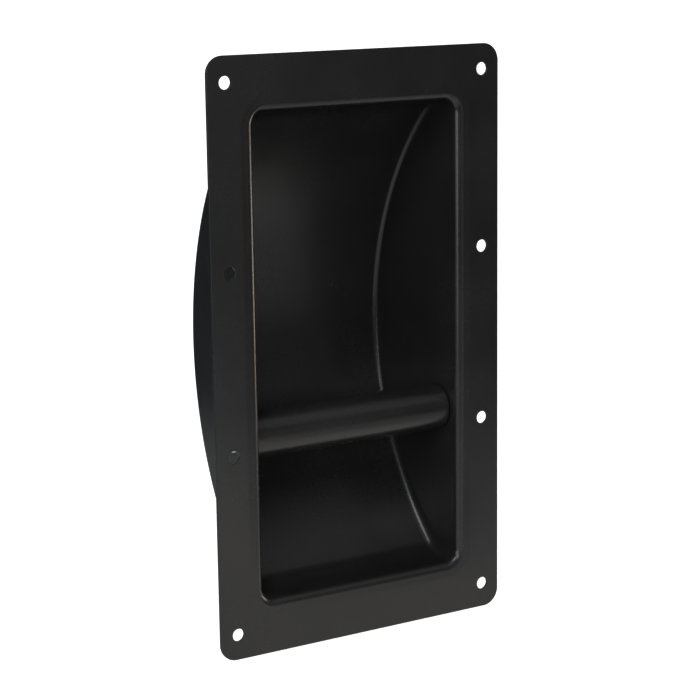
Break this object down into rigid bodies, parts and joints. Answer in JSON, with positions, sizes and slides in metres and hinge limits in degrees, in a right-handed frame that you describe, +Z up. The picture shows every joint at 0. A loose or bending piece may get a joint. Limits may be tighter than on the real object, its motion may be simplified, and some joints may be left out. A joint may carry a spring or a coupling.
{
  "type": "recessed bar handle",
  "caption": "Recessed bar handle: a deep-pressed steel dish with a drilled flange and a round tube fixed across it as the grip.",
  "frame": {"origin": "centre of the fixing holes, on the face of the flange", "axes": "+X across the handle to the right as seen from the front, +Y into the cabinet, +Z up along the handle"},
  "size_m": [0.132, 0.0585, 0.2334],
  "materials": {
    "black_coat": "black satin powder coat with a fine grain",
    "zinc_steel": "bright zinc plate"
  },
  "bodies": {
    "root": {"dish": "black_coat", "grip_bar": "black_coat", "left_plug": "zinc_steel", "right_plug": "zinc_steel", "left_lock_washer": "zinc_steel", "right_lock_washer": "zinc_steel", "left_screw": "zinc_steel", "right_screw": "zinc_steel"}
  },
  "joints": []
}
